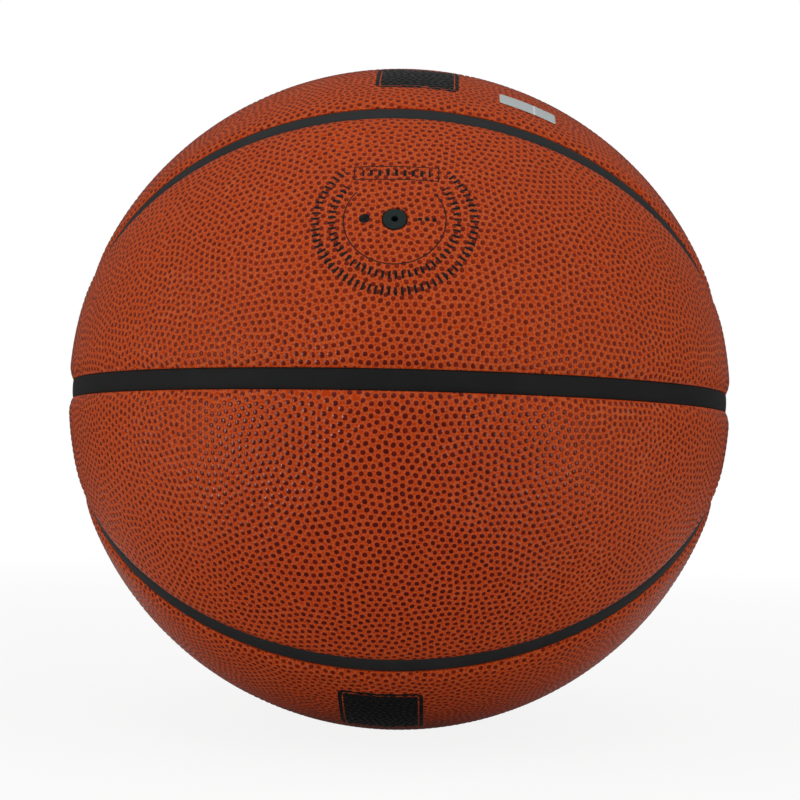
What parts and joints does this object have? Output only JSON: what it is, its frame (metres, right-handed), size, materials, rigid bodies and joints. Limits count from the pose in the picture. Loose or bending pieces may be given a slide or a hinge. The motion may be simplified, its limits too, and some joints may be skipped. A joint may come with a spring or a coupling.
{
  "type": "basketball",
  "caption": "Inflatable ball of pebbled orange cover panels between black rubber channel strips, over a wound carcass and a bladder, with a pull-out valve plug.",
  "frame": {"origin": "centre of the ball", "axes": "+Z through the middle of the upper oval, +X through the crossing of the two full channels, -Y towards the side that has the valve"},
  "size_m": [0.2382, 0.2382, 0.2384],
  "materials": {
    "cover": "pebbled composite leather, darker worn tips",
    "channel_rubber": "matt black rubber",
    "sponge_rubber": "fine closed sponge",
    "winding_thread": "wound nylon thread",
    "butyl_rubber": "smooth moulded rubber",
    "valve_rubber": "moulded rubber"
  },
  "bodies": {
    "ball": {"oval_panel_upper_front": "cover", "oval_panel_upper_back": "cover", "oval_panel_lower_front": "cover", "oval_panel_lower_back": "cover", "band_panel_upper_front": "cover", "band_panel_upper_back": "cover", "band_panel_lower_front": "cover", "band_panel_lower_back": "cover", "equator_strip": "channel_rubber", "meridian_strip_upper": "channel_rubber", "meridian_strip_lower": "channel_rubber", "oval_strip_upper_front": "channel_rubber", "oval_strip_upper_back": "channel_rubber", "oval_strip_lower_front": "channel_rubber", "oval_strip_lower_back": "channel_rubber", "bladder": "butyl_rubber", "winding_layer": "winding_thread", "carcass": "sponge_rubber", "valve_housing": "valve_rubber"},
    "valve_plug": {"valve_plug": "valve_rubber"}
  },
  "joints": [
    {"name": "valve_plug_pull", "type": "slide", "parent": "ball", "child": "valve_plug", "axis": [0, -0.9092, 0.4163], "range_m": [0, 0.016]}
  ]
}
